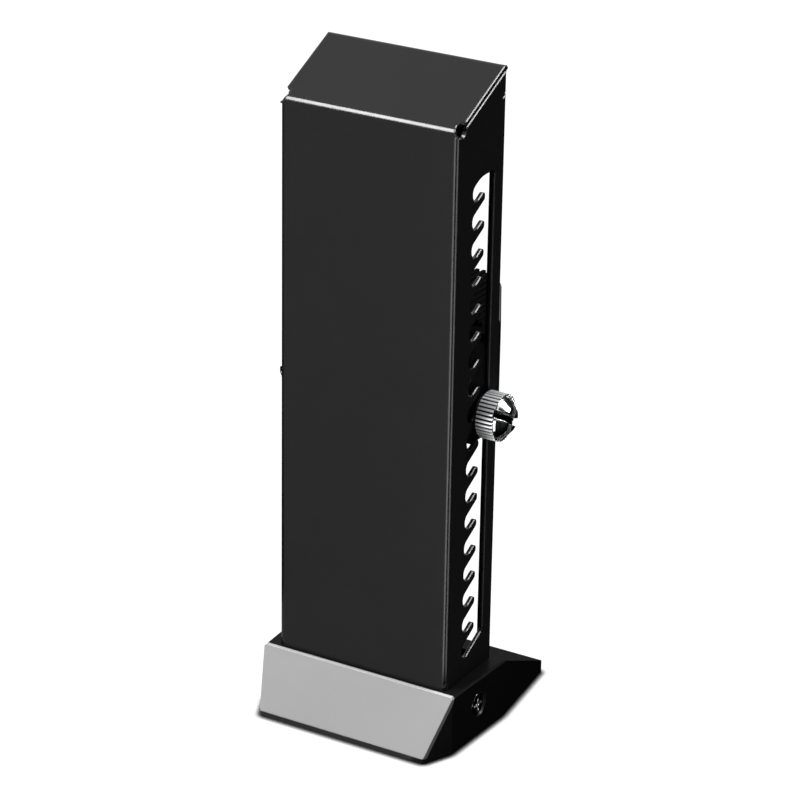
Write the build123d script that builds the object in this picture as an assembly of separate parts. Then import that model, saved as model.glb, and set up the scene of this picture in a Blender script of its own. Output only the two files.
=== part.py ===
from build123d import *
import os
from math import atan, cos, degrees, radians, sin, tan

# Graphics card support bracket: a folded steel tower with hooked side slots on a moulded foot,
# and a folded arm that is set at any height in the slots and clamped by two thumbscrews.
# Millimetres, +Z up, the front faces -Y, origin at the middle of the underside.

# How far cuts run past the faces they go through, and joined forms reach into each other
run_past = 1.0

# Foot
base_length = 76.6
collar_side_wall = 3.9
base_front_width = 62.0
base_tail_width = 66.6
base_lift = 0.3
collar_top = 20.8
collar_front_rim = 2.9
collar_length = 31.5
collar_flare = 1.6
collar_chamfer = 0.6
front_lip = 1.6
tail_end_height = 3.9
base_corner_radius = 1.0
base_wall = 2.2
socket_clearance = 0.2
socket_front_wall = 1.6

# Light window and its lamp board
window_thickness = 1.2
board_length = 44.0
board_height = 8.0
board_thickness = 1.2
board_lift = 0.6
board_end_clearance = 1.2
board_foot_length = 22.0
lamp_count = 6
lamp_pitch = 7.0
lamp_width = 3.5
lamp_height = 2.8
lamp_depth = 1.9

# Underside
cover_thickness = 2.5
cover_rim = 2.0
cover_clearance = 0.15
sole_thickness = 1.2
sole_margin = 4.0
sole_corner_radius = 3.0
cover_screw_diameter = 2.6
cover_screw_head = 5.0
cover_screw_length = 7.0
cover_boss_diameter = 6.0
front_screw_wall = 3.8
front_screw_setback = 7.4
tail_screw_spacing = 46.0
tail_screw_inset = 24.0
magnet_diameter = 12.0
magnet_height = 3.0
magnet_spacing = 24.0
magnet_setback = 1.0
magnet_ring_wall = 1.4
magnet_ring_height = 2.0
magnet_clearance = 0.15
grommet_bore = 3.2
grommet_neck = 6.4
grommet_flange = 9.4
grommet_flange_height = 1.0
grommet_inset = 15.0
grommet_clearance = 0.1

# Tower
tower_width = 63.2
tower_depth = 29.6
tower_setback = 13.3
tower_front_height = 209.9
roof_slope = 25.5
sheet = 1.2
bend_radius = 1.4
lip_width = 4.8
lip_top_gap = 8.0
lip_relief_width = 0.9
lip_relief_length = 6.0
roof_gap = 0.75
roof_flange = 7.0
roof_tab_length = 8.0
roof_tab_setback = 1.0
roof_tab_clearance = 1.1
flange_clearance = 0.3
corner_relief_radius = 2.75
corner_relief_out = 0.6
corner_relief_back = 2.1

# Hooked slots in the tower's sides, measured back from its front face
hook_count = 18
hook_pitch = 9.2
hook_slope = 27.8
lowest_hook = 9.9
pocket_end = 9.6
pocket_width = 5.5
pocket_radius = 2.6
hook_tip = 17.25
hook_tip_radius = 1.1
slot_back = 23.15
slot_top_margin = 1.7
slot_top_radius = 10.0
slot_corner_radius = 2.0

# Side screws that hold the tower in the foot
side_screw_diameter = 4.0
side_screw_head = 8.2
side_screw_length = 8.0
side_screw_height = 11.5
side_screw_setback = 13.2
side_screw_sink = 0.3
side_screw_recess_width = 1.1
side_screw_recess_span = 4.8
side_screw_recess_depth = 1.5
side_hole_clearance = 0.2
burr_height = 2.0
burr_wall = 1.5
thread_clearance = 0.05

# Arm, with its height and its depth in the slots as it stands
arm_axis_height = 111.0
pin_clearance = 0.3
arm_sheet = 1.5
arm_bend_radius = 2.2
arm_side_clearance = 0.4
arm_top_rise = 23.5
cheek_drop = 9.5
cheek_front_reach = 7.0
cheek_back_gap = 0.9
cheek_corner_radius = 3.0
neck_clearance = 1.4
arm_shoulder = 12.0
arm_reach = 44.0
arm_tip_width = 16.0
arm_tip_radius = 6.5
arm_shoulder_radius = 5.0
arm_tip_flange = 6.0
pad_thickness = 1.2
pad_rib_height = 0.8
pad_rib_width = 1.2
pad_rib_pitch = 2.4
pad_margin = 1.8
pad_setback = 2.4

# Thumbscrews, weld nuts and washers
screw_diameter = 5.0
nut_across_flats = 8.0
nut_height = 4.0
thread_overrun = 1.5
washer_diameter = 13.4
washer_thickness = 1.2
washer_bore_clearance = 0.2
clamp_gap = 0.1
head_diameter = 15.6
grip_length = 6.0
shoulder_length = 0.5
ridge_count = 36
ridge_depth = 0.7
ridge_flank = 0.3
crown_length = 2.4
crown_rim_diameter = 13.4
crown_top_diameter = 8.0
drive_slot_width = 2.7
drive_slot_depth = 3.2
drive_slot_angle = -32.0

# Levels and lines that several pieces share
front_lip_y = -base_length / 2
tail_end_y = base_length / 2
tower_front = front_lip_y + tower_setback
tower_back = tower_front + tower_depth
tower_side = tower_width / 2
base_width = tower_width + 2 * (socket_clearance + collar_side_wall)
collar_front = tower_front - collar_front_rim
collar_back = collar_front + collar_length
cover_top = base_lift + cover_thickness
window_foot = base_lift + front_lip
window_run = (collar_front - front_lip_y) / (collar_top - window_foot)
window_depth = window_thickness * (1 + window_run**2) ** 0.5
lamp_room_side = board_length / 2 + board_end_clearance
front_screw_side = lamp_room_side + front_screw_wall
tail_fall = (collar_top - base_lift - tail_end_height) / (tail_end_y - collar_back)
roof_rise = tan(radians(roof_slope))
roof_drop = sheet / cos(radians(roof_slope))
hook_rise = tan(radians(hook_slope))
pocket_half = pocket_width / 2 / cos(radians(hook_slope))
pin_y = tower_front + hook_tip + screw_diameter / 2 + pin_clearance
cheek_side = tower_side - sheet - arm_side_clearance
neck_side = tower_side - lip_width - neck_clearance
arm_top = arm_axis_height + arm_top_rise
arm_bottom = arm_axis_height - cheek_drop
cheek_front = pin_y - cheek_front_reach
cheek_back = tower_back - sheet - cheek_back_gap
side_screw_y = tower_front + side_screw_setback
collar_spread = collar_flare / collar_length
side_screw_face = base_width / 2 + collar_spread * (side_screw_y - collar_front) - side_screw_sink
washer_face = tower_side + clamp_gap
head_face = washer_face + washer_thickness


def plan_face(points):
    """Flat face from points in plan, at the origin's level."""
    return make_face(Polyline(*points, close=True))


def rise(face, low, high):
    """Solid from a plan face, between two levels."""
    return extrude(Pos(0, 0, low) * face, amount=high - low, dir=(0, 0, 1))


def across(points, half_width):
    """Solid from a side profile of (y, z) points, centred across the width."""
    face = Plane.YZ * make_face(Polyline(*points, close=True))
    return extrude(face, amount=half_width, dir=(1, 0, 0), both=True)


def block(x_span, y_span, z_span):
    """Box between two limits on each axis."""
    sizes = [span[1] - span[0] for span in (x_span, y_span, z_span)]
    middle = [(span[0] + span[1]) / 2 for span in (x_span, y_span, z_span)]
    return Pos(*middle) * Box(*sizes)


def upright(x, y, low, high, diameter):
    """Upright cylinder between two levels."""
    return Pos(x, y, (low + high) / 2) * Cylinder(diameter / 2, high - low)


def sideways(start, end, y, z, diameter):
    """Cylinder along X between two places."""
    return Pos((start + end) / 2, y, z) * Rot(0, 90, 0) * Cylinder(diameter / 2, abs(end - start))


def turned(profile, y, z, side):
    """Solid turned about an axis along X from (distance out, radius) points, on the side +1 or -1."""
    face = make_face(Polyline(*[(out * side, radius) for out, radius in profile], close=True))
    return Pos(0, y, z) * revolve(face, Axis.X)


def corners_at_x(face, place):
    """Corners of a flat face that lie nearest to one place along X."""
    return min(face.vertices().group_by(Axis.X), key=lambda group: abs(group[0].X - place))


def corners_at_y(face, place):
    """Corners of a flat face that lie nearest to one place along Y."""
    return min(face.vertices().group_by(Axis.Y), key=lambda group: abs(group[0].Y - place))


def write(name, shape):
    """One file for each piece."""
    export_step(shape, f"parts/{name}.step")


def base_plan(inset):
    """Outline of the foot in plan, moved in by an inset."""
    half = [
        (base_front_width / 2, front_lip_y),
        (base_width / 2, collar_front),
        (base_width / 2 + collar_flare, collar_back),
        (base_tail_width / 2, tail_end_y),
    ]
    outline = plan_face(half + [(-x, y) for x, y in reversed(half)])
    outline = fillet(outline.vertices(), base_corner_radius)
    if inset:
        outline = offset(outline, -inset, kind=Kind.INTERSECTION)
    return outline


def base_profile(inset):
    """Side profile of the foot above its flat underside, with the roof of it lowered by an inset."""
    slant_in = inset * (1 + window_run**2) ** 0.5
    tail_in = inset * (1 + tail_fall**2) ** 0.5
    top = collar_top - inset
    return [
        (front_lip_y + slant_in, base_lift),
        (front_lip_y + slant_in, window_foot),
        (collar_front + slant_in - inset * window_run, top),
        (collar_back - (tail_in - inset) / tail_fall, top),
        (tail_end_y, collar_top - tail_fall * (tail_end_y - collar_back) - tail_in),
        (tail_end_y, base_lift),
    ]


def cover_screw_places():
    """Places of the screws under the cover, as (x, y)."""
    front_y = front_lip_y + front_screw_setback
    tail_y = tail_end_y - tail_screw_inset
    for side in (-1, 1):
        yield side * front_screw_side, front_y
        yield side * tail_screw_spacing / 2, tail_y


def foot_envelope():
    """Outer form of the foot, window included."""
    outer = rise(base_plan(0), base_lift, collar_top) & across(base_profile(0), base_width)
    turn = degrees(atan(collar_spread))
    across_flats = collar_chamfer * 2**0.5
    for side in (-1, 1):
        edge = Pos(side * base_width / 2, collar_front, collar_top) * Rot(0, 0, -side * turn)
        outer -= edge * Rot(0, 45, 0) * Box(across_flats, 2 * base_length, across_flats)
    return outer


def window_slab():
    """Slanted slab across the front of the foot that the light window fills."""
    return across(
        [
            (front_lip_y, window_foot),
            (collar_front, collar_top),
            (collar_front + window_depth, collar_top),
            (front_lip_y + window_depth, window_foot),
        ],
        base_width,
    )


def tower_socket():
    """Opening in the foot that takes the tower."""
    face = RectangleRounded(
        tower_width + 2 * socket_clearance,
        tower_depth + 2 * socket_clearance,
        bend_radius + socket_clearance,
    )
    return rise(Pos(0, tower_front + tower_depth / 2) * face, 0, collar_top + run_past)


def lamp_room():
    """Hollow behind the window."""
    back = tower_front - socket_clearance - socket_front_wall
    inner_front = front_lip_y + window_depth
    ceiling = collar_top - base_wall
    return across(
        [
            (inner_front, window_foot),
            (inner_front + (ceiling - window_foot) * window_run, ceiling),
            (back, ceiling),
            (back, window_foot),
        ],
        lamp_room_side,
    )


def tail_room():
    """Hollow under the sloping tail."""
    start = tower_back + socket_clearance + base_wall
    behind = Pos(0, start + base_length / 2) * Rectangle(base_width, base_length)
    plan = base_plan(base_wall) & behind
    return rise(plan, base_lift, collar_top) & across(base_profile(base_wall), base_width)


def side_screw_profile(spread):
    """Countersunk screw profile from its head inwards, grown by a spread for its hole."""
    neck = side_screw_face - (side_screw_head - side_screw_diameter) / 2
    tip = side_screw_face - side_screw_length
    shank = side_screw_diameter / 2 + spread
    return [
        (tip, 0),
        (tip, shank),
        (neck, shank),
        (side_screw_face, side_screw_head / 2 + spread),
        (side_screw_face, 0),
    ]


def grommet_seat(diameter, low, high):
    """Cylinder square to the tail's slope, between two distances from its surface."""
    y = tail_end_y - grommet_inset
    z = collar_top - tail_fall * (y - collar_back)
    slope = Plane(origin=(0, y, z), x_dir=(1, 0, 0), z_dir=(0, tail_fall, 1))
    return slope * Pos(0, 0, (low + high) / 2) * Cylinder(diameter / 2, high - low)


def base_housing():
    """Moulded foot, open below, with the tower's socket and the rooms for lamp and magnets."""
    shell = foot_envelope() - window_slab() - lamp_room() - tail_room()
    places = list(cover_screw_places())
    bosses = [upright(x, y, cover_top, collar_top, cover_boss_diameter) for x, y in places]
    shell += tail_room() & Compound(bosses)
    shell -= tower_socket()
    shell -= rise(base_plan(cover_rim), 0, cover_top)
    for x, y in places:
        shell -= upright(x, y, 0, cover_top + cover_screw_length, cover_screw_diameter)
    mouth = side_screw_head + 2 * side_hole_clearance
    for side in (-1, 1):
        profile = side_screw_profile(side_hole_clearance)
        shell -= turned(profile, side_screw_y, side_screw_height, side)
        start = side * side_screw_face
        shell -= sideways(start, side * base_width, side_screw_y, side_screw_height, mouth)
    return shell - grommet_seat(grommet_neck, -2 * base_wall, base_wall)


def light_window():
    """Frosted panel across the slanted front."""
    return foot_envelope() & window_slab()


def lamp_board():
    """Strip of circuit board that stands against the socket's front wall."""
    back = tower_front - socket_clearance - socket_front_wall
    low = cover_top + board_lift
    depth = (back - board_thickness, back)
    foot = block((-board_foot_length / 2, board_foot_length / 2), depth, (cover_top, low))
    return foot + block((-board_length / 2, board_length / 2), depth, (low, low + board_height))


def lamps():
    """Row of lamp packages on the board, facing the window."""
    face = tower_front - socket_clearance - socket_front_wall - board_thickness
    middle = cover_top + board_lift + board_height / 2
    first = -lamp_pitch * (lamp_count - 1) / 2
    row = []
    for index in range(lamp_count):
        x = first + index * lamp_pitch
        row.append(
            block(
                (x - lamp_width / 2, x + lamp_width / 2),
                (face - lamp_depth, face),
                (middle - lamp_height / 2, middle + lamp_height / 2),
            )
        )
    return Compound(row)


def sole_face(spread):
    """Outline of the rubber sole, grown by a spread for its seat."""
    outline = base_plan(sole_margin - spread)
    rows = outline.vertices().group_by(Axis.Y)
    return fillet(rows[0] + rows[-1], sole_corner_radius + spread)


def magnet_places():
    """Places of the magnets under the tail, close behind the tower's socket."""
    behind = tower_back + socket_clearance + base_wall + magnet_setback
    y = behind + magnet_ring_wall + magnet_clearance + magnet_diameter / 2
    return [(side * magnet_spacing / 2, y) for side in (-1, 1)]


def base_cover():
    """Plate that closes the foot, with seats for the sole, the screws and the magnets."""
    plate = rise(base_plan(cover_rim + cover_clearance), base_lift, cover_top)
    seat = magnet_diameter + 2 * magnet_clearance
    for x, y in magnet_places():
        ring = upright(x, y, sole_thickness, cover_top + magnet_ring_height, seat + 2 * magnet_ring_wall)
        plate += ring - upright(x, y, cover_top, collar_top, seat)
    plate -= rise(sole_face(cover_clearance), 0, sole_thickness)
    for x, y in cover_screw_places():
        plate -= cover_screw(x, y, cover_clearance)
    return plate


def cover_screw(x, y, spread):
    """Countersunk screw upwards through the cover, grown by a spread for its hole."""
    head_radius = cover_screw_head / 2 + spread
    shank = cover_screw_diameter / 2 + spread
    neck = sole_thickness + head_radius - shank
    profile = [
        (0, sole_thickness),
        (head_radius, sole_thickness),
        (shank, neck),
        (shank, sole_thickness + cover_screw_length),
        (0, sole_thickness + cover_screw_length),
    ]
    return Pos(x, y, 0) * revolve(Plane.XZ * make_face(Polyline(*profile, close=True)), Axis.Z)


def cover_screws():
    """Screws that hold the cover, under the sole."""
    return Compound([cover_screw(x, y, -thread_clearance) for x, y in cover_screw_places()])


def base_magnets():
    """Disc magnets in the cover's rings."""
    top = cover_top + magnet_height
    return Compound([upright(x, y, cover_top, top, magnet_diameter) for x, y in magnet_places()])


def cable_grommet():
    """Rubber grommet in the tail's slope for the lamp lead."""
    neck = grommet_seat(grommet_neck - 2 * grommet_clearance, -base_wall, 0)
    flange = grommet_seat(grommet_flange, 0, grommet_flange_height)
    flange = chamfer(flange.edges().sort_by(Axis.Z)[-1:], grommet_flange_height / 2)
    return neck + flange - grommet_seat(grommet_bore, -base_wall, grommet_flange_height)


def side_screw(side):
    """Countersunk cross-recess screw through the foot into the tower."""
    body = turned(side_screw_profile(0), side_screw_y, side_screw_height, side)
    head = side * side_screw_face
    deep = head - side * side_screw_recess_depth
    reach = side_screw_recess_span / 2
    width = side_screw_recess_width / 2
    for y_half, z_half in ((reach, width), (width, reach)):
        body -= block(
            sorted((head, deep)),
            (side_screw_y - y_half, side_screw_y + y_half),
            (side_screw_height - z_half, side_screw_height + z_half),
        )
    return body


def roof_under(y):
    """Level of the roof's underside at a distance from the front."""
    return tower_front_height + (y - tower_front) * roof_rise - roof_drop


def below_roof(gap):
    """Everything below a plane that runs parallel to the roof, under it by a gap."""
    lower = gap / cos(radians(roof_slope))
    near = tower_front - run_past
    far = tower_back + run_past
    plane = [(near, roof_under(near) - lower), (far, roof_under(far) - lower)]
    return across([(near, 0)] + plane + [(far, 0)], tower_width)


def tower_channel():
    """Front, sides and back lips of the tower, folded from one sheet."""
    middle = Pos(0, tower_front + tower_depth / 2)
    outer = middle * RectangleRounded(tower_width, tower_depth, bend_radius)
    inside_width = tower_width - 2 * sheet
    inner = middle * RectangleRounded(inside_width, tower_depth - 2 * sheet, bend_radius - sheet)
    gap = Pos(0, tower_back) * Rectangle(tower_width - 2 * lip_width, tower_depth)
    channel = rise(outer - inner - gap, cover_top, tower_front_height + tower_depth)
    channel &= below_roof(roof_gap)
    lip_top = roof_under(tower_back) - lip_top_gap
    inside = tower_side - sheet - flange_clearance / 2
    back = (tower_back - sheet - run_past, tower_back + run_past)
    channel -= block((-inside, inside), back, (lip_top, lip_top + tower_depth))
    for side in (-1, 1):
        slit = Pos(side * tower_side, tower_back, lip_top) * Rot(roof_slope, 0, 0)
        channel -= slit * Box(2 * (sheet + run_past), lip_relief_length, lip_relief_width)
    return channel


def tower_roof():
    """Sloping roof with its front strip and its back flange."""
    low = tower_front_height - roof_flange
    outer = plan_face(
        [
            (tower_front, low),
            (tower_front, tower_front_height),
            (tower_back, tower_front_height + tower_depth * roof_rise),
            (tower_back, low),
        ]
    )
    inner = plan_face(
        [
            (tower_front + sheet, low),
            (tower_front + sheet, roof_under(tower_front + sheet)),
            (tower_back - sheet, roof_under(tower_back - sheet)),
            (tower_back - sheet, low),
        ]
    )
    outer = fillet(top_corners(outer), bend_radius)
    inner = fillet(top_corners(inner), bend_radius - sheet)
    band = Plane.YZ * (outer - inner)
    wide = extrude(band, amount=tower_side, dir=(1, 0, 0), both=True)
    narrow_half = tower_side - sheet - flange_clearance
    narrow = extrude(band, amount=narrow_half, dir=(1, 0, 0), both=True)
    roof = (wide - below_roof(roof_gap)) + (narrow & below_roof(roof_gap))
    flange_low = tower_front_height + tower_depth * roof_rise - roof_flange
    back = (tower_back - sheet - run_past, tower_back + run_past)
    roof -= block((-tower_side, tower_side), back, (0, flange_low))
    return roof + roof_tabs()


def roof_tabs():
    """Tab folded down from the roof behind each corner relief."""
    outer = tower_side - sheet - roof_tab_clearance
    near = tower_front + sheet + roof_tab_setback
    far = near + roof_tab_length
    profile = [
        (near, roof_under(near) - roof_flange),
        (near, roof_under(near) + sheet / 2),
        (far, roof_under(far) + sheet / 2),
        (far, roof_under(far) - roof_flange),
    ]
    return across(profile, outer) - across(profile, outer - sheet)


def top_corners(face):
    """The two upper corners of a side profile drawn in plan."""
    low = min(vertex.Y for vertex in face.vertices())
    return [vertex for vertex in face.vertices() if vertex.Y > low + bend_radius]


def hook_slot():
    """Slot profile in the tower's side: an upright channel with slanting pockets on its front."""

    def centre_line(index, back):
        seat = collar_top + lowest_hook + index * hook_pitch
        return seat + (back - pocket_end - pocket_width / 2) * hook_rise

    top = centre_line(hook_count - 1, hook_tip) + slot_top_margin
    outline = [(slot_back, top), (slot_back, centre_line(0, slot_back) - pocket_half)]
    for index in range(hook_count):
        if index > 0:
            outline.append((hook_tip, centre_line(index, hook_tip) - pocket_half))
        outline.append((pocket_end, centre_line(index, pocket_end) - pocket_half))
        outline.append((pocket_end, centre_line(index, pocket_end) + pocket_half))
        if index < hook_count - 1:
            outline.append((hook_tip, centre_line(index, hook_tip) + pocket_half))
    last = centre_line(hook_count - 1, pocket_end) + pocket_half
    crest = pocket_end + (top - last) / hook_rise
    outline.append((crest, top))
    face = plan_face([(tower_front + back, level) for back, level in outline])
    face = fillet(corners_at_x(face, tower_front + crest), slot_top_radius)
    face = fillet(corners_at_x(face, tower_front + hook_tip), hook_tip_radius)
    face = fillet(corners_at_x(face, tower_front + pocket_end), pocket_radius)
    return fillet(corners_at_x(face, tower_front + slot_back), slot_corner_radius)


def tower_shell():
    """Tower with its roof, slots, thread collars and corner reliefs."""
    shell = tower_channel() + tower_roof()
    shell -= extrude(Plane.YZ * hook_slot(), amount=tower_width, dir=(1, 0, 0), both=True)
    inner_side = tower_side - sheet
    collar = side_screw_diameter + 2 * burr_wall
    bore = side_screw_diameter + 2 * thread_clearance
    for side in (-1, 1):
        wall = side * inner_side
        reach = side * (inner_side - burr_height)
        past = side * (tower_side + run_past)
        shell += sideways(wall, reach, side_screw_y, side_screw_height, collar)
        shell -= sideways(past, reach, side_screw_y, side_screw_height, bore)
        corner = Pos(
            side * (tower_side + corner_relief_out),
            tower_front + corner_relief_back,
            tower_front_height,
        )
        shell -= corner * Sphere(corner_relief_radius)
    return shell


def arm_carriage():
    """Part of the arm inside the tower: a top web with a cheek folded down at each side."""
    outer = block((-cheek_side, cheek_side), (cheek_front, cheek_back), (arm_bottom, arm_top))
    bends = outer.edges().filter_by(Axis.Y).group_by(Axis.Z)[-1]
    outer = fillet(bends, arm_bend_radius)
    inner = block(
        (-cheek_side + arm_sheet, cheek_side - arm_sheet),
        (cheek_front - run_past, cheek_back + run_past),
        (arm_bottom - run_past, arm_top - arm_sheet),
    )
    bends = inner.edges().filter_by(Axis.Y).group_by(Axis.Z)[-1]
    inner = fillet(bends, arm_bend_radius - arm_sheet)
    carriage = outer - inner
    toes = carriage.edges().filter_by(Axis.X).group_by(Axis.Z)[0]
    return fillet(toes, cheek_corner_radius)


def arm_plan(inset):
    """Outline of the arm behind the tower, moved in by an inset."""
    start = cheek_back - run_past
    half = [
        (neck_side, start),
        (neck_side, tower_back + arm_shoulder),
        (arm_tip_width / 2, tower_back + arm_reach),
    ]
    outline = plan_face(half + [(-x, y) for x, y in reversed(half)])
    outline = fillet(outline.vertices().group_by(Axis.Y)[-1], arm_tip_radius)
    outline = fillet(corners_at_y(outline, tower_back + arm_shoulder), arm_shoulder_radius)
    if inset:
        outline = offset(outline, -inset, kind=Kind.INTERSECTION)
    return outline


def arm_ledge():
    """Part of the arm behind the tower: a tapering plate with its long edges folded down."""
    outer = rise(arm_plan(0), arm_bottom, arm_top)
    outer = fillet(outer.faces().sort_by(Axis.Z)[-1].edges().sort_by(Axis.Y)[1:], arm_bend_radius)
    inner = rise(arm_plan(arm_sheet), arm_bottom - run_past, arm_top - arm_sheet)
    start = cheek_back - run_past
    mouth = block(
        (-neck_side + arm_sheet, neck_side - arm_sheet),
        (start - run_past, start + arm_sheet + run_past),
        (arm_bottom - run_past, arm_top - arm_sheet),
    )
    shoulder_y = tower_back + arm_shoulder
    tip_y = tower_back + arm_reach
    under = across(
        [
            (shoulder_y, arm_bottom - run_past),
            (shoulder_y, arm_bottom),
            (tip_y - arm_tip_radius, arm_top - arm_tip_flange),
            (tip_y + run_past, arm_top - arm_tip_flange),
            (tip_y + run_past, arm_bottom - run_past),
        ],
        tower_side,
    )
    return outer - inner - mouth - under


def support_arm():
    """Arm in one folded sheet, with a hole in each cheek for its thumbscrew."""
    arm = arm_carriage() + arm_ledge()
    hole = screw_diameter + 2 * washer_bore_clearance
    return arm - sideways(-tower_side, tower_side, pin_y, arm_axis_height, hole)


def arm_pad():
    """Ribbed rubber pad that the card rests on."""
    front = tower_back + pad_setback
    behind = Pos(0, front + arm_reach / 2) * Rectangle(tower_width, arm_reach)
    outline = arm_plan(pad_margin) & behind
    mat_top = arm_top + pad_thickness
    rib_top = mat_top + pad_rib_height
    mat = rise(outline, arm_top, mat_top)
    ribs = []
    count = int(neck_side / pad_rib_pitch)
    for index in range(-count, count + 1):
        x = index * pad_rib_pitch
        ribs.append(
            block(
                (x - pad_rib_width / 2, x + pad_rib_width / 2),
                (front, tower_back + arm_reach),
                (mat_top, rib_top),
            )
        )
    return mat + (rise(outline, mat_top, rib_top) & Compound(ribs))


def weld_nut(side):
    """Hexagon weld nut on the inside of a cheek."""
    seat = cheek_side - arm_sheet
    radius = nut_across_flats / 2 / cos(radians(30))
    hexagon = extrude(Plane.YZ * RegularPolygon(radius, 6), amount=nut_height, dir=(-side, 0, 0))
    nut = Pos(side * seat, pin_y, arm_axis_height) * hexagon
    bore = screw_diameter + 2 * thread_clearance
    return nut - sideways(-tower_side, tower_side, pin_y, arm_axis_height, bore)


def washer(side):
    """Washer between a thumbscrew's head and the tower's side."""
    disc = sideways(side * washer_face, side * head_face, pin_y, arm_axis_height, washer_diameter)
    bore = screw_diameter + 2 * washer_bore_clearance
    past = side * (head_face + run_past)
    return disc - sideways(side * tower_side, past, pin_y, arm_axis_height, bore)


def ridged_outline():
    """Round outline with a row of ridges for grip."""
    step = 360 / ridge_count
    high = head_diameter / 2
    low = high - ridge_depth
    points = []
    for index in range(ridge_count):
        for turn, radius in ((0, low), (ridge_flank, high), (1 - ridge_flank, high)):
            angle = radians((index + turn) * step)
            points.append((radius * cos(angle), radius * sin(angle)))
    return plan_face(points)


def thumbscrew(side):
    """Thumbscrew with a ridged grip and a coned crown that two drive slots cross."""
    grip_end = head_face + grip_length
    shoulder_end = grip_end + shoulder_length
    crown_end = shoulder_end + crown_length
    crown = [
        (grip_end, 0),
        (grip_end, head_diameter / 2 - ridge_depth),
        (shoulder_end, crown_rim_diameter / 2),
        (crown_end, crown_top_diameter / 2),
        (crown_end, 0),
    ]
    place = Pos(0, pin_y, arm_axis_height)
    outline = Plane.YZ * ridged_outline()
    grip = place * Pos(side * head_face, 0, 0) * extrude(outline, amount=grip_length, dir=(side, 0, 0))
    head = grip + turned(crown, pin_y, arm_axis_height, side)
    floor = crown_end - drive_slot_depth
    for turn in (0, 90):
        cut = block(
            sorted((side * floor, side * (crown_end + run_past))),
            (-head_diameter, head_diameter),
            (-drive_slot_width / 2, drive_slot_width / 2),
        )
        head -= place * Rot(drive_slot_angle + turn, 0, 0) * cut
    tip = cheek_side - arm_sheet - nut_height - thread_overrun
    root = side * (head_face + run_past)
    return head + sideways(side * tip, root, pin_y, arm_axis_height, screw_diameter)


os.makedirs("parts", exist_ok=True)
write("tower_shell", tower_shell())
write("base_housing", base_housing())
write("light_window", light_window())
write("lamp_board", lamp_board())
write("lamps", lamps())
write("base_cover", base_cover())
write("cover_screws", cover_screws())
write("base_magnets", base_magnets())
write("rubber_sole", rise(sole_face(0), 0, sole_thickness))
write("cable_grommet", cable_grommet())
write("support_arm", support_arm())
write("arm_pad", arm_pad())
for name, side in (("left", -1), ("right", 1)):
    write(f"side_screw_{name}", side_screw(side))
    write(f"weld_nut_{name}", weld_nut(side))
    write(f"washer_{name}", washer(side))
    write(f"thumbscrew_{name}", thumbscrew(side))
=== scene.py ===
from math import cos, pi, radians, sin

import bpy
from mathutils import Matrix, Vector


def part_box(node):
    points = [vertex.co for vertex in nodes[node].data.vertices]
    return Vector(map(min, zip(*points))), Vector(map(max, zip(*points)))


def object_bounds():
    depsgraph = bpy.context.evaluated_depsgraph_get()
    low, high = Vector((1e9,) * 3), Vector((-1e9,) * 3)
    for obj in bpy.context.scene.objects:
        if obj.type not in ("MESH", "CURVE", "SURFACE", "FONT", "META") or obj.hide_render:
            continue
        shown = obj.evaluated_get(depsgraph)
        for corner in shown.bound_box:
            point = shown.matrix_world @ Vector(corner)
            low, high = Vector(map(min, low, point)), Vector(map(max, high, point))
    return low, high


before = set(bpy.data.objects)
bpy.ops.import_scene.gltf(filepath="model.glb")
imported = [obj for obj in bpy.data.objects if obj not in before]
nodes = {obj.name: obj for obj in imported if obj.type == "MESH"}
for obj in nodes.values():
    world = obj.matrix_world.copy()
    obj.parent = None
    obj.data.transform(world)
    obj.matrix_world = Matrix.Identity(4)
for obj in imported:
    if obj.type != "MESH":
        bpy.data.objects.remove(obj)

# Graphics card support bracket: finishes, edges, floor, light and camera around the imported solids.
# Metres, in the same frame as the solids, with angles in degrees.

MM = 0.001
UNIT_SPAN = (0.0, 1.0)

# Camera, as the photograph was taken
CAMERA_PLACE = Vector((0.48687, -0.84463, 0.52606))
CAMERA_AZIMUTH = 30.051
CAMERA_ELEVATION = 23.293
CAMERA_ROLL = 0.943
CAMERA_LENS = 148.6
CAMERA_SENSOR = 36.0

# Directions that faces of the object look in
RIGHT = Vector((1, 0, 0))
FRONT = Vector((0, -1, 0))
BACK = Vector((0, 1, 0))
UP = Vector((0, 0, 1))
ROOF_SLOPE = 25.5
ROOF = Vector((0, -sin(radians(ROOF_SLOPE)), cos(radians(ROOF_SLOPE))))

# Every surface: size of its patches and edges, the spans of its noise and of openness in grooves, and the
# colour of the shade painted into grooves
PATCH = 20 * MM
SOFT_EDGE = 0.3 * MM
EDGE_SAMPLES = 6
NOISE_DETAIL = 3.0
NOISE_SPAN = (0.3, 0.7)
COVER_SAMPLES = 8
GROOVE_OPENNESS = (0.6, 0.85)
GROOVE_PAINTED_SHADE = (0.02, 0.02, 0.021)
SIDE_FACING = (0.5, 0.7)

# Tower's coat: gloss of its flats, the painted light that raises the colour of its flats in place of their
# sheen, and how nearly a normal lies along a flat's own
COAT_GLOSS = 0.38
SIDE_FLAT = (0.94, 0.99)
FLAT = (0.999, 0.9998)
FRONT_GLOSS = 0.06
FRONT_PAINTED_SHEEN = 4.9
ROOF_GLOSS = 0.015
ROOF_PAINTED_LIGHT = 8.3
SIDE_PAINTED_LIGHT = 2.2

# Thumbscrews: distance from the tower's middle at which the ridges end, and their roughness
GRIP_END = 38.9 * MM
GRIP_FADE = 0.3 * MM
GRIP_FACING = (0.1, 0.3)
GRIP_ROUGHNESS = 0.42

# Floor and surroundings
FLOOR_SIZE = 6.0
FLOOR_COLOUR = (0.6, 0.6, 0.6, 1)
FLOOR_GLOW = 1.25
FLOOR_SHARE = 0.8
CONTACT_SHADOW = 2.4 * MM
CONTACT_OPENNESS = (0.66, 1.0)
WORLD_FILL = 0.2

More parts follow.
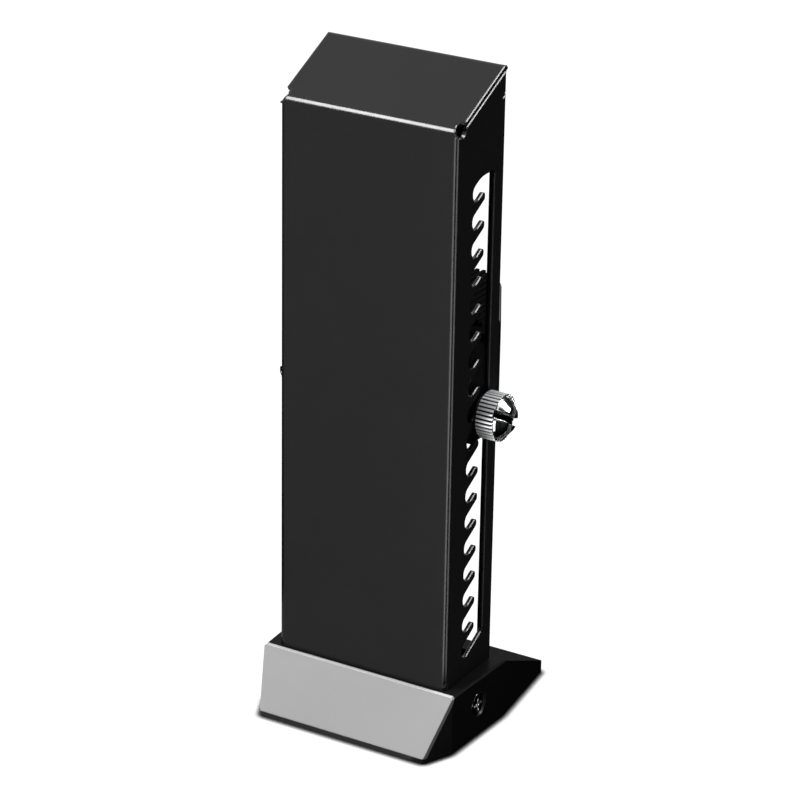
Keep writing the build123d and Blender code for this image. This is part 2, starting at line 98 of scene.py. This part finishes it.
# Lamps: the places and normals on the tower that would mirror them to the camera
LAMP_DISTANCE = 1.4
BEND_ASIDE = 13 * MM
BEND_HEIGHT = 209 * MM
SIDE_DEPTH = -8 * MM
SIDE_HEIGHT = 150 * MM
KEY_TILTS = (14, 26, 38, 50)
KEY_WIDTH = 0.24
KEY_GLOW = 31
KEY_LIGHT = 14
RIM_TURNS = (20, 34, 48, 62)
RIM_WIDTH = 0.5
RIM_GLOW = 30
RIM_LAMP_TURNS = (20, 48)
RIM_LAMP_WIDTH = 0.4
RIM_LIGHT = 5

# Cards on the floor: their height, the angle of a facet and reaches from the tower's right front corner
CARD_HEIGHT = 0.2 * MM
CARD_STEP = 10
FOOT_REACH = 1 * MM
NEAR_REACH = 0.05
LIP_REACH = 0.13
FAR_REACH = 1.2

# Upright cards
SCREEN_REACH = 1.8
SCREEN_TOP = 1.6
SIDE_CARD_BOTTOM = 0.55
SIDE_CARD_TOP = 1.0

# Bearings that the cards span, from straight ahead round to the right
FOOT_SPAN = (-20, 190)
LIP_SPAN = (-130, -27)
LEFT_SPAN = (-130, -52)
FRONT_SPAN = (-52, -27)
FIRST_LINE_SPAN = (-25, -4)
CORNER_SPAN = (-4, 40)
SECOND_LINE_SPAN = (40, 64)
BACK_SPAN = (64, 230)
SCREEN_SPAN = (-10, 170)
SIDE_CARD_SPAN = (60, 85)

# Glows of the cards
DARK = 0.0
FRONT_CARD_GLOW = 0.56
FIRST_LINE_GLOW = 5.4
CORNER_GLOW = 0.02
SECOND_LINE_GLOW = 4.4
SIDE_CARD_GLOW = 5.0

cad_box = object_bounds()
middle = (Vector(cad_box[0]) + Vector(cad_box[1])) / 2
tower_low, tower_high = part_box("tower_shell")
bend_place = Vector((BEND_ASIDE, tower_low[1], BEND_HEIGHT))
side_place = Vector((tower_high[0], SIDE_DEPTH, SIDE_HEIGHT))


def new_material(name):
    """Empty node material, with its tree and its output."""
    material = bpy.data.materials.new(name)
    material.use_nodes = True
    tree = material.node_tree
    tree.nodes.clear()
    return material, tree, tree.nodes.new("ShaderNodeOutputMaterial")


def add_node(tree, kind, settings=None, **inputs):
    """Node of a kind, with its properties and the values of its inputs set."""
    node = tree.nodes.new(kind)
    for name, value in (settings or {}).items():
        setattr(node, name, value)
    for name, value in inputs.items():
        node.inputs[name.replace("_", " ")].default_value = value
    return node


def node_of(material, kind):
    """The material's only node of a kind."""
    return next(node for node in material.node_tree.nodes if node.bl_idname == kind)


def ramp(tree, source, span, levels):
    """Value that runs from one level to another as the source runs over a span."""
    node = add_node(
        tree,
        "ShaderNodeMapRange",
        From_Min=span[0],
        From_Max=span[1],
        To_Min=levels[0],
        To_Max=levels[1],
    )
    tree.links.new(source, node.inputs["Value"])
    return node.outputs["Result"]


def join(tree, operation, first, second):
    """Maths on two values."""
    node = add_node(tree, "ShaderNodeMath", {"operation": operation})
    tree.links.new(first, node.inputs[0])
    tree.links.new(second, node.inputs[1])
    return node.outputs["Value"]


def towards(tree, facing, direction, span, levels):
    """Ramp over how far a normal turns towards a direction: one along it, nought across it."""
    along = add_node(tree, "ShaderNodeVectorMath", {"operation": "DOT_PRODUCT"})
    along.inputs[1].default_value = direction
    tree.links.new(facing, along.inputs[0])
    return ramp(tree, along.outputs["Value"], span, levels)


def sideways(tree, vector, span, levels):
    """Ramp over how far a normal or a place lies to the left or right."""
    parts = add_node(tree, "ShaderNodeSeparateXYZ")
    size = add_node(tree, "ShaderNodeMath", {"operation": "ABSOLUTE"})
    tree.links.new(vector, parts.inputs["Vector"])
    tree.links.new(parts.outputs["X"], size.inputs[0])
    return ramp(tree, size.outputs["Value"], span, levels)


def noise(tree, size):
    """Noise over the object's own coordinates, with features of about a size in metres."""
    place = add_node(tree, "ShaderNodeTexCoord")
    texture = add_node(tree, "ShaderNodeTexNoise", Scale=1 / size, Detail=NOISE_DETAIL)
    tree.links.new(place.outputs["Object"], texture.inputs["Vector"])
    return texture.outputs["Fac"]


def tint(tree, source, dark, light):
    """Colour that runs between two colours with the source."""
    node = add_node(tree, "ShaderNodeMix", {"data_type": "RGBA"})
    node.inputs["A"].default_value = (*dark, 1)
    node.inputs["B"].default_value = (*light, 1)
    tree.links.new(source, node.inputs["Factor"])
    return node.outputs["Result"]


def openness(tree, reach):
    """One on open surfaces, and less where something stands within a reach."""
    cover = add_node(tree, "ShaderNodeAmbientOcclusion", {"samples": COVER_SAMPLES}, Distance=reach)
    return cover.outputs["AO"]


def surface(name, dark, light, roughness, grain, bump, edge=SOFT_EDGE, groove_shade_reach=None, **constants):
    """Principled material: patches between two tones, uneven roughness, a fine grain and softened edges,
    with painted shade in its grooves when given a reach for it.
    """
    material, tree, output = new_material(name)
    shader = add_node(tree, "ShaderNodeBsdfPrincipled", **constants)
    colour = tint(tree, noise(tree, PATCH), dark, light)
    # Painted shade: the colour darkens in grooves, where something stands close by.
    if groove_shade_reach:
        shade = add_node(tree, "ShaderNodeMix", {"data_type": "RGBA"})
        shade.inputs["A"].default_value = (*GROOVE_PAINTED_SHADE, 1)
        unshaded = ramp(tree, openness(tree, groove_shade_reach), GROOVE_OPENNESS, UNIT_SPAN)
        tree.links.new(unshaded, shade.inputs["Factor"])
        tree.links.new(colour, shade.inputs["B"])
        colour = shade.outputs["Result"]
    tree.links.new(colour, shader.inputs["Base Color"])
    tree.links.new(ramp(tree, noise(tree, 4 * grain), NOISE_SPAN, roughness), shader.inputs["Roughness"])
    soft = add_node(tree, "ShaderNodeBevel", {"samples": EDGE_SAMPLES}, Radius=edge)
    relief = add_node(tree, "ShaderNodeBump", Strength=bump, Distance=grain)
    tree.links.new(noise(tree, grain), relief.inputs["Height"])
    tree.links.new(soft.outputs["Normal"], relief.inputs["Normal"])
    tree.links.new(relief.outputs["Normal"], shader.inputs["Normal"])
    tree.links.new(shader.outputs["BSDF"], output.inputs["Surface"])
    return material


def soft_normal(material):
    """The material's normal with its edges softened."""
    return node_of(material, "ShaderNodeBevel").outputs["Normal"]


def flat_normal(material):
    """Normal of the faces themselves."""
    return add_node(material.node_tree, "ShaderNodeTexCoord").outputs["Normal"]


def set_gloss(material, level):
    """Gloss that changes over the surface."""
    shader = node_of(material, "ShaderNodeBsdfPrincipled")
    material.node_tree.links.new(level, shader.inputs["Specular IOR Level"])


def painted_shading(material, share):
    """Painted light and shade: the material's colour times a share that changes over the surface."""
    tree = material.node_tree
    colour = node_of(material, "ShaderNodeBsdfPrincipled").inputs["Base Color"]
    mask = add_node(tree, "ShaderNodeVectorMath", {"operation": "SCALE"})
    tree.links.new(colour.links[0].from_socket, mask.inputs["Vector"])
    tree.links.new(share, mask.inputs["Scale"])
    tree.links.new(mask.outputs["Vector"], colour)


def painted_side_shading(material, share):
    """Painted light and shade: a share of the material's colour on the faces that look to the left and
    right.
    """
    painted_shading(material, sideways(material.node_tree, flat_normal(material), SIDE_FACING, (1.0, share)))


def painted_steel():
    """Black coat, glossy on bends and edges and dull on the flats of the sides, the front and the roof,
    with painted light raising the colour of those flats in place of their sheen.
    """
    material = surface(
        "painted_steel",
        (0.0045, 0.0045, 0.0047),
        (0.0053, 0.0053, 0.0055),
        roughness=(0.15, 0.18),
        grain=0.5 * MM,
        bump=0.01,
        edge=0.85 * MM,
    )
    tree = material.node_tree
    facing = soft_normal(material)
    gloss = sideways(tree, facing, SIDE_FLAT, (COAT_GLOSS, 0.0))
    # Painted light: the flat sides are made lighter than the coat's own black.
    painted_side_shading(material, SIDE_PAINTED_LIGHT)
    # Painted light and reflection: the flat front and roof are made lighter, in place of the sheen taken
    # off them.
    for normal, flat_gloss, flat_painted_light in ((FRONT, FRONT_GLOSS, FRONT_PAINTED_SHEEN), (ROOF, ROOF_GLOSS, ROOF_PAINTED_LIGHT)):
        dulled = towards(tree, facing, normal, FLAT, (COAT_GLOSS, flat_gloss))
        gloss = join(tree, "MINIMUM", gloss, dulled)
        painted_shading(material, towards(tree, facing, normal, FLAT, (1.0, flat_painted_light)))
    set_gloss(material, gloss)
    return material


def arm_paint():
    """Black coat of the arm, with a slight gloss on its back and on edges that turn to it."""
    material = surface(
        "arm_paint",
        (0.0065, 0.0065, 0.0067),
        (0.008, 0.008, 0.0082),
        roughness=(0.3, 0.36),
        grain=0.5 * MM,
        bump=0.02,
    )
    facing = soft_normal(material)
    set_gloss(material, towards(material.node_tree, facing, BACK, span=(0.1, 0.4), levels=(0.0, 0.3)))
    return material


def moulded_black():
    """Moulded plastic, with a slight gloss on its front, matt on the rest and with painted shade darkening
    its sides.
    """
    material = surface(
        "moulded_black",
        (0.0100, 0.0100, 0.0102),
        (0.0120, 0.0120, 0.0122),
        roughness=(0.30, 0.36),
        grain=0.35 * MM,
        bump=0.05,
        edge=0.12 * MM,
    )
    facing = flat_normal(material)
    set_gloss(material, towards(material.node_tree, facing, FRONT, span=(0.2, 0.5), levels=(0.02, 0.35)))
    # Painted shade: the faces that look to the left and right are made darker.
    painted_side_shading(material, share=0.45)
    return material


def frosted_window():
    """Frosted plastic, with painted shade on its ends and a painted highlight along its top edge."""
    material = surface(
        "frosted_window",
        (0.340, 0.343, 0.340),
        (0.360, 0.363, 0.360),
        roughness=(0.55, 0.62),
        grain=0.25 * MM,
        bump=0.05,
        edge=0.4 * MM,
        Specular_IOR_Level=0.5,
    )
    # Painted shade: the ends that look to the left and right are made darker.
    painted_side_shading(material, share=0.25)
    facing = soft_normal(material)
    # Painted highlight: the colour is made paler where the edge turns upwards.
    painted_shading(material, towards(material.node_tree, facing, UP, span=(0.55, 0.75), levels=(1.0, 2.6)))
    return material


def rubber():
    """Matt rubber of the sole and the grommet."""
    return surface(
        "rubber",
        (0.006, 0.006, 0.0062),
        (0.009, 0.009, 0.0092),
        roughness=(0.72, 0.85),
        grain=0.4 * MM,
        bump=0.15,
        Specular_IOR_Level=0.1,
    )


def pad_rubber():
    """Rubber of the arm's pad, with no gloss."""
    return surface(
        "pad_rubber",
        (0.009, 0.009, 0.0092),
        (0.012, 0.012, 0.0122),
        roughness=(0.5, 0.6),
        grain=0.4 * MM,
        bump=0.05,
        edge=0.25 * MM,
        Specular_IOR_Level=0.0,
    )


def bright_nickel():
    """Plated steel, satin on the ridges and bright on the turned crown, with painted shade in the grooves
    between the ridges.
    """
    material = surface(
        "bright_nickel",
        (0.70, 0.71, 0.72),
        (0.76, 0.77, 0.78),
        roughness=(0.08, 0.13),
        grain=0.3 * MM,
        bump=0.02,
        edge=0.15 * MM,
        groove_shade_reach=0.7 * MM,
        Metallic=1.0,
    )
    tree = material.node_tree
    roughness = node_of(material, "ShaderNodeBsdfPrincipled").inputs["Roughness"]
    place = add_node(tree, "ShaderNodeTexCoord").outputs["Object"]
    grip = sideways(tree, place, (GRIP_END, GRIP_END + GRIP_FADE), (GRIP_ROUGHNESS, 0.0))
    round_face = sideways(tree, flat_normal(material), GRIP_FACING, (GRIP_ROUGHNESS, 0.0))
    satin = join(tree, "MINIMUM", grip, round_face)
    tree.links.new(join(tree, "MAXIMUM", roughness.links[0].from_socket, satin), roughness)
    return material


def nickel_magnet():
    """Nickel plate of the magnets."""
    return surface(
        "nickel_magnet",
        (0.62, 0.62, 0.61),
        (0.70, 0.70, 0.69),
        roughness=(0.14, 0.22),
        grain=0.4 * MM,
        bump=0.03,
        Metallic=1.0,
    )


def zinc_steel():
    """Zinc plate of the weld nuts."""
    return surface(
        "zinc_steel",
        (0.48, 0.49, 0.52),
        (0.56, 0.57, 0.60),
        roughness=(0.28, 0.4),
        grain=0.4 * MM,
        bump=0.05,
        Metallic=1.0,
    )


def dark_screw():
    """Smooth plate of the foot's screws."""
    return surface(
        "dark_screw",
        (0.56, 0.56, 0.565),
        (0.62, 0.62, 0.625),
        roughness=(0.10, 0.15),
        grain=0.3 * MM,
        bump=0.03,
        edge=0.35 * MM,
        Metallic=1.0,
    )


def black_nylon():
    """Nylon of the washers."""
    return surface(
        "black_nylon",
        (0.010, 0.010, 0.0105),
        (0.013, 0.013, 0.0135),
        roughness=(0.45, 0.55),
        grain=0.3 * MM,
        bump=0.08,
        Specular_IOR_Level=0.3,
    )


def circuit_board():
    """White mask of the lamp board."""
    return surface(
        "circuit_board",
        (0.70, 0.71, 0.69),
        (0.76, 0.77, 0.75),
        roughness=(0.35, 0.45),
        grain=0.3 * MM,
        bump=0.05,
    )


def lamp_package():
    """Yellowish resin of the lamps."""
    return surface(
        "lamp_package",
        (0.80, 0.76, 0.52),
        (0.86, 0.82, 0.60),
        roughness=(0.2, 0.3),
        grain=0.3 * MM,
        bump=0.03,
    )


def dress(material, *names):
    """The material on these nodes."""
    for name in names:
        mesh = nodes[name].data
        mesh.materials.clear()
        mesh.materials.append(material)


def add_object(name, data):
    """Object with its data, in the scene."""
    thing = bpy.data.objects.new(name, data)
    bpy.context.scene.collection.objects.link(thing)
    return thing


def seen_ray(tree):
    """One for rays that show the surroundings: from the camera, in reflections and through glass."""
    path = add_node(tree, "ShaderNodeLightPath")
    shown = join(tree, "MAXIMUM", path.outputs["Is Camera Ray"], path.outputs["Is Glossy Ray"])
    return join(tree, "MAXIMUM", shown, path.outputs["Is Transmission Ray"])


def make_floor():
    """Pale floor that keeps the object's shadow and is white to the camera and in reflections, with a
    contact shadow painted into its glow where the object stands close by.
    """
    mesh = bpy.data.meshes.new("floor")
    half = FLOOR_SIZE / 2
    corners = [(-half, -half, 0), (half, -half, 0), (half, half, 0), (-half, half, 0)]
    mesh.from_pydata(corners, [], [(0, 1, 2, 3)])
    floor = add_object("floor", mesh)
    material, tree, output = new_material("floor")
    pale = add_node(tree, "ShaderNodeBsdfDiffuse", Color=FLOOR_COLOUR)
    white = add_node(tree, "ShaderNodeEmission")
    # Painted shadow: the floor's glow fades where the object stands within reach.
    glow = ramp(tree, openness(tree, CONTACT_SHADOW), CONTACT_OPENNESS, (0.0, FLOOR_GLOW))
    mix = add_node(tree, "ShaderNodeMixShader")
    tree.links.new(glow, white.inputs["Strength"])
    tree.links.new(ramp(tree, seen_ray(tree), UNIT_SPAN, (0.0, FLOOR_SHARE)), mix.inputs["Fac"])
    tree.links.new(pale.outputs["BSDF"], mix.inputs[1])
    tree.links.new(white.outputs["Emission"], mix.inputs[2])
    tree.links.new(mix.outputs["Shader"], output.inputs["Surface"])
    mesh.materials.append(material)


def make_world():
    """White surroundings to the eye, with a plain level of fill light."""
    world = bpy.data.worlds.new("studio")
    bpy.context.scene.world = world
    world.use_nodes = True
    tree = world.node_tree
    tree.nodes.clear()
    output = tree.nodes.new("ShaderNodeOutputWorld")
    background = add_node(tree, "ShaderNodeBackground", Color=(1, 1, 1, 1))
    tree.links.new(ramp(tree, seen_ray(tree), UNIT_SPAN, (WORLD_FILL, 1.0)), background.inputs["Strength"])
    tree.links.new(background.outputs["Background"], output.inputs["Surface"])


def bend_normal(tilt):
    """Normal in the bend between the front and the roof, tilted up from the front."""
    return cos(radians(tilt)) * FRONT + sin(radians(tilt)) * UP


def roof_edge_normal(turn):
    """Normal between the roof's and the right side's, turned out from the roof."""
    return cos(radians(turn)) * ROOF + sin(radians(turn)) * RIGHT


def shown_in(place, normal):
    """Point at the lamps' distance that the camera sees reflected in a surface at a place."""
    view = (CAMERA_PLACE - place).normalized()
    return place + LAMP_DISTANCE * (2 * normal.dot(view) * normal - view)


def strip_lamp(name, start, end, width, radiance):
    """Soft lamp that runs between two points and faces the object."""
    along = (end - start).normalized()
    place = (start + end) / 2
    away = place - middle
    away = (away - away.dot(along) * along).normalized()
    light = bpy.data.lights.new(name, "AREA")
    light.shape = "RECTANGLE"
    light.size = width
    light.size_y = (end - start).length
    light.energy = radiance * pi * light.size * light.size_y
    lamp = add_object(name, light)
    axes = Matrix((along.cross(away), along, away)).transposed()
    lamp.matrix_world = Matrix.Translation(place) @ axes.to_4x4()
    lamp.visible_camera = False
    lamp.visible_glossy = False


def reflected_card(name, points, glow):
    """Card between two rows of points, given in pairs, that only reflections show."""
    pairs = range(len(points) // 2 - 1)
    faces = [(2 * pair, 2 * pair + 1, 2 * pair + 3, 2 * pair + 2) for pair in pairs]
    mesh = bpy.data.meshes.new(name)
    mesh.from_pydata(points, [], faces)
    card = add_object(name, mesh)
    material, tree, output = new_material(name)
    light = add_node(tree, "ShaderNodeEmission", Strength=glow)
    tree.links.new(light.outputs["Emission"], output.inputs["Surface"])
    mesh.materials.append(material)
    for rays in ("camera", "diffuse", "transmission", "volume_scatter", "shadow"):
        setattr(card, "visible_" + rays, False)


def strip_card(name, knots, width, glow):
    """Card along a row of points that reflections show in the lamps' place."""
    points = []
    for index, knot in enumerate(knots):
        along = (knots[min(index + 1, len(knots) - 1)] - knots[max(index - 1, 0)]).normalized()
        side = along.cross(knot - middle).normalized()
        points.append(knot - side * width / 2)
        points.append(knot + side * width / 2)
    reflected_card(name, points, glow)


def ring_card(name, span, inner, outer, glow):
    """Card over a span of bearings round the tower's right front corner, between two rings.

    A ring is a radius and a height.
    """
    first, last = span
    count = max(2, round((last - first) / CARD_STEP))
    points = []
    for index in range(count + 1):
        bearing = radians(first + (last - first) * index / count)
        for radius, level in (inner, outer):
            x = tower_high[0] + radius * sin(bearing)
            points.append((x, tower_low[1] - radius * cos(bearing), level))
    reflected_card(name, points, glow)


def make_lamps():
    """Key lamp over the front and rim lamp on the right, each with the card that reflections show."""
    key = [shown_in(bend_place, bend_normal(tilt)) for tilt in KEY_TILTS]
    strip_card("key_card", key, KEY_WIDTH, KEY_GLOW)
    for index in range(len(key) - 1):
        strip_lamp(f"key_lamp_{index}", key[index], key[index + 1], KEY_WIDTH, KEY_LIGHT)
    rim = [shown_in(side_place, roof_edge_normal(turn)) for turn in RIM_TURNS]
    strip_card("rim_card", rim, RIM_WIDTH, RIM_GLOW)
    start, end = (shown_in(side_place, roof_edge_normal(turn)) for turn in RIM_LAMP_TURNS)
    strip_lamp("rim_lamp", start, end, RIM_LAMP_WIDTH, RIM_LIGHT)


def make_cards():
    """Cards that the tower's bends and edges, the foot and the bright parts mirror."""
    foot, near, beside, far = (
        (reach, CARD_HEIGHT) for reach in (FOOT_REACH, NEAR_REACH, LIP_REACH, FAR_REACH)
    )
    ring_card("foot_card", FOOT_SPAN, foot, near, DARK)
    ring_card("lip_card", LIP_SPAN, foot, beside, FRONT_CARD_GLOW)
    ring_card("left_card", LEFT_SPAN, beside, far, DARK)
    ring_card("front_card", FRONT_SPAN, beside, far, FRONT_CARD_GLOW)
    ring_card("first_line_card", FIRST_LINE_SPAN, near, far, FIRST_LINE_GLOW)
    ring_card("corner_card", CORNER_SPAN, near, far, CORNER_GLOW)
    ring_card("second_line_card", SECOND_LINE_SPAN, near, far, SECOND_LINE_GLOW)
    ring_card("back_card", BACK_SPAN, near, far, DARK)
    ring_card("dark_screen", SCREEN_SPAN, (SCREEN_REACH, 0), (SCREEN_REACH, SCREEN_TOP), DARK)
    low, high = ((LAMP_DISTANCE, level) for level in (SIDE_CARD_BOTTOM, SIDE_CARD_TOP))
    ring_card("side_card", SIDE_CARD_SPAN, low, high, SIDE_CARD_GLOW)


def make_camera():
    """Camera at the photograph's angle."""
    data = bpy.data.cameras.new("camera")
    data.lens = CAMERA_LENS
    data.sensor_width = CAMERA_SENSOR
    data.sensor_fit = "HORIZONTAL"
    camera = add_object("camera", data)
    turn = Matrix.Rotation(radians(CAMERA_AZIMUTH), 4, "Z")
    tilt = Matrix.Rotation(radians(90 - CAMERA_ELEVATION), 4, "X")
    roll = Matrix.Rotation(radians(CAMERA_ROLL), 4, "Z")
    camera.matrix_world = Matrix.Translation(CAMERA_PLACE) @ turn @ tilt @ roll
    bpy.context.scene.camera = camera


dress(painted_steel(), "tower_shell")
dress(arm_paint(), "support_arm")
dress(moulded_black(), "base_housing", "base_cover")
dress(frosted_window(), "light_window")
dress(rubber(), "rubber_sole", "cable_grommet")
dress(pad_rubber(), "arm_pad")
dress(bright_nickel(), "thumbscrew_left", "thumbscrew_right")
dress(zinc_steel(), "weld_nut_left", "weld_nut_right")
dress(nickel_magnet(), "base_magnets")
dress(dark_screw(), "side_screw_left", "side_screw_right", "cover_screws")
dress(black_nylon(), "washer_left", "washer_right")
dress(circuit_board(), "lamp_board")
dress(lamp_package(), "lamps")

make_floor()
make_world()
make_lamps()
make_cards()
make_camera()

bpy.context.scene.view_settings.view_transform = "Standard"
